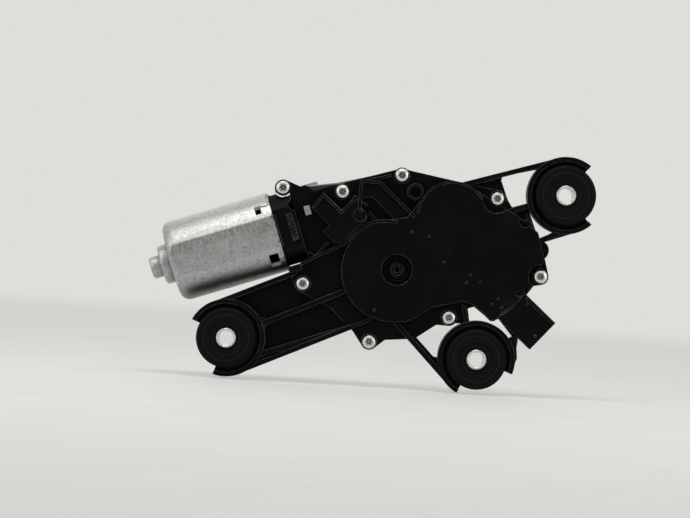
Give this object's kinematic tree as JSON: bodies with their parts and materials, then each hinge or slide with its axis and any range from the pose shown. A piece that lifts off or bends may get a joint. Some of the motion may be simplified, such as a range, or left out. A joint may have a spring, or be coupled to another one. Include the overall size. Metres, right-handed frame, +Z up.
{
  "type": "wiper motor",
  "caption": "Rear wiper motor: a flat-sided can drives a worm gearbox and a swinging output shaft on a three-armed plastic carrier with rubber mounts.",
  "frame": {"origin": "output shaft's axis in the mid-plane of the three rubber mounts", "axes": "+Y along the output shaft, away from the covers, towards the wiper arm; +Z up as the part stands in the picture; +X to the right seen from the cover side"},
  "size_m": [0.2391, 0.0853, 0.1307],
  "materials": {
    "black_plastic": "glass-filled moulding, dusty satin",
    "mount_rubber": "matt",
    "cast_aluminium": "die-cast, slightly grainy",
    "zinc_steel": "zinc-plated, mottled",
    "steel": "turned and stamped",
    "copper": "bare copper",
    "bronze": "sintered bronze",
    "acetal": "natural acetal",
    "ferrite": "sintered ferrite",
    "carbon": "carbon brush",
    "gasket": "matt",
    "capacitor_film": "dipped"
  },
  "bodies": {
    "housing": {"gear_housing": "cast_aluminium", "cover_carrier": "black_plastic", "cover_gasket": "gasket", "cover_screws": "zinc_steel", "filter_box": "black_plastic", "terminal_clip": "steel", "grommet_left": "mount_rubber", "grommet_right": "mount_rubber", "grommet_lower": "mount_rubber", "sleeve_left": "zinc_steel", "sleeve_right": "zinc_steel", "sleeve_lower": "zinc_steel", "motor_can": "zinc_steel", "magnets": "ferrite", "magnet_springs": "steel", "rear_bearing": "bronze", "bearing_retainer": "steel", "brush_holder": "black_plastic", "brush_boxes": "bronze", "brushes": "carbon", "brush_springs": "steel", "choke_coils": "copper", "capacitor": "capacitor_film", "front_bearing": "bronze", "thrust_pad": "steel", "wheel_axle": "steel", "wheel_washer": "steel", "wheel_clip": "steel", "output_bush_upper": "bronze", "output_bush_lower": "bronze", "shaft_seal": "mount_rubber", "park_contacts": "copper", "motor_terminals": "copper", "plug_terminals": "copper"},
    "armature": {"armature_shaft": "steel", "worm": "steel", "lamination_stack": "steel", "windings": "copper", "commutator": "copper"},
    "worm_wheel": {"worm_wheel": "acetal", "contact_disc": "copper"},
    "link": {"link_plate": "steel", "link_pin": "steel"},
    "coupler": {"coupler_plate": "steel", "crank_pin": "steel"},
    "output": {"output_shaft": "zinc_steel", "output_pinion": "steel", "shaft_circlip": "steel"}
  },
  "joints": [
    {"name": "armature_spin", "type": "hinge", "parent": "housing", "child": "armature", "pos_m": [-0.041, 0.01, 0.00536], "axis": [0.9397, 0, 0.342], "range_deg": [0, 11520]},
    {"name": "wheel_spin", "type": "hinge", "parent": "housing", "child": "worm_wheel", "pos_m": [-0.02801, 0, -0.03035], "axis": [0, -1, 0], "range_deg": [0, 180]},
    {"name": "output_swing", "type": "hinge", "parent": "housing", "child": "output", "pos_m": [0, 0, 0], "axis": [0, 1, 0], "range_deg": [0, 106.42]},
    {"name": "link_swing", "type": "hinge", "parent": "housing", "child": "link", "pos_m": [0, 0, 0], "axis": [0, 1, 0], "range_deg": [0, 49.39]},
    {"name": "coupler_swing", "type": "hinge", "parent": "link", "child": "coupler", "pos_m": [0.00875, 0, -0.01909], "axis": [0, -1, 0], "range_deg": [0, 76.04]}
  ],
  "couplings": [
    {"joint": "wheel_spin", "follows": "armature_spin", "ratio": 0.015625},
    {"joint": "output_swing", "follows": "armature_spin", "ratio": 0.0092376},
    {"joint": "link_swing", "follows": "armature_spin", "ratio": 0.0042872},
    {"joint": "coupler_swing", "follows": "armature_spin", "ratio": 0.0066006}
  ]
}
